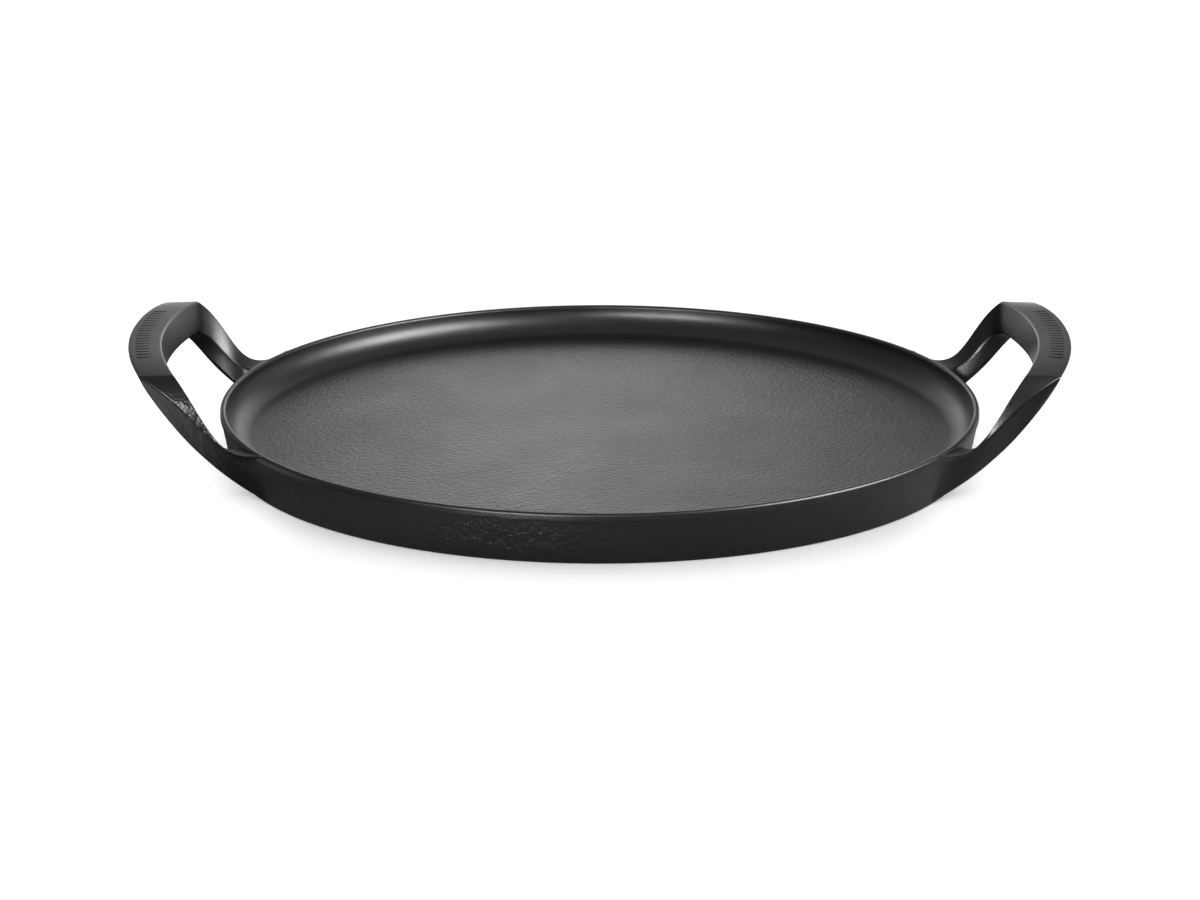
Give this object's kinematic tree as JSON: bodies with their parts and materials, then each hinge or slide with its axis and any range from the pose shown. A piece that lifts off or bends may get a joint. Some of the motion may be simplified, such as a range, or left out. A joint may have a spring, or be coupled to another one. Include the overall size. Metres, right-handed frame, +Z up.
{
  "type": "pizza pan",
  "caption": "Shallow round cast-iron pizza pan with a low upright rim, a broad cove down to its flat floor, and a raised loop handle at each end to lift it hot from an oven.",
  "frame": {"origin": "middle of the flat base, on the surface that the pan stands on", "axes": "+Z up out of the dish, +X from the middle towards the right-hand handle, Y across the pan between the handles"},
  "size_m": [0.4002, 0.324, 0.0522],
  "materials": {
    "dish_enamel": "satin black enamel baked on, with a fine pebbled grain on the floor",
    "handle_enamel": "satin black enamel baked on, smooth over soft cast edges"
  },
  "bodies": {
    "root": {"pan_dish": "dish_enamel", "handle_right": "handle_enamel", "handle_left": "handle_enamel"}
  },
  "joints": []
}
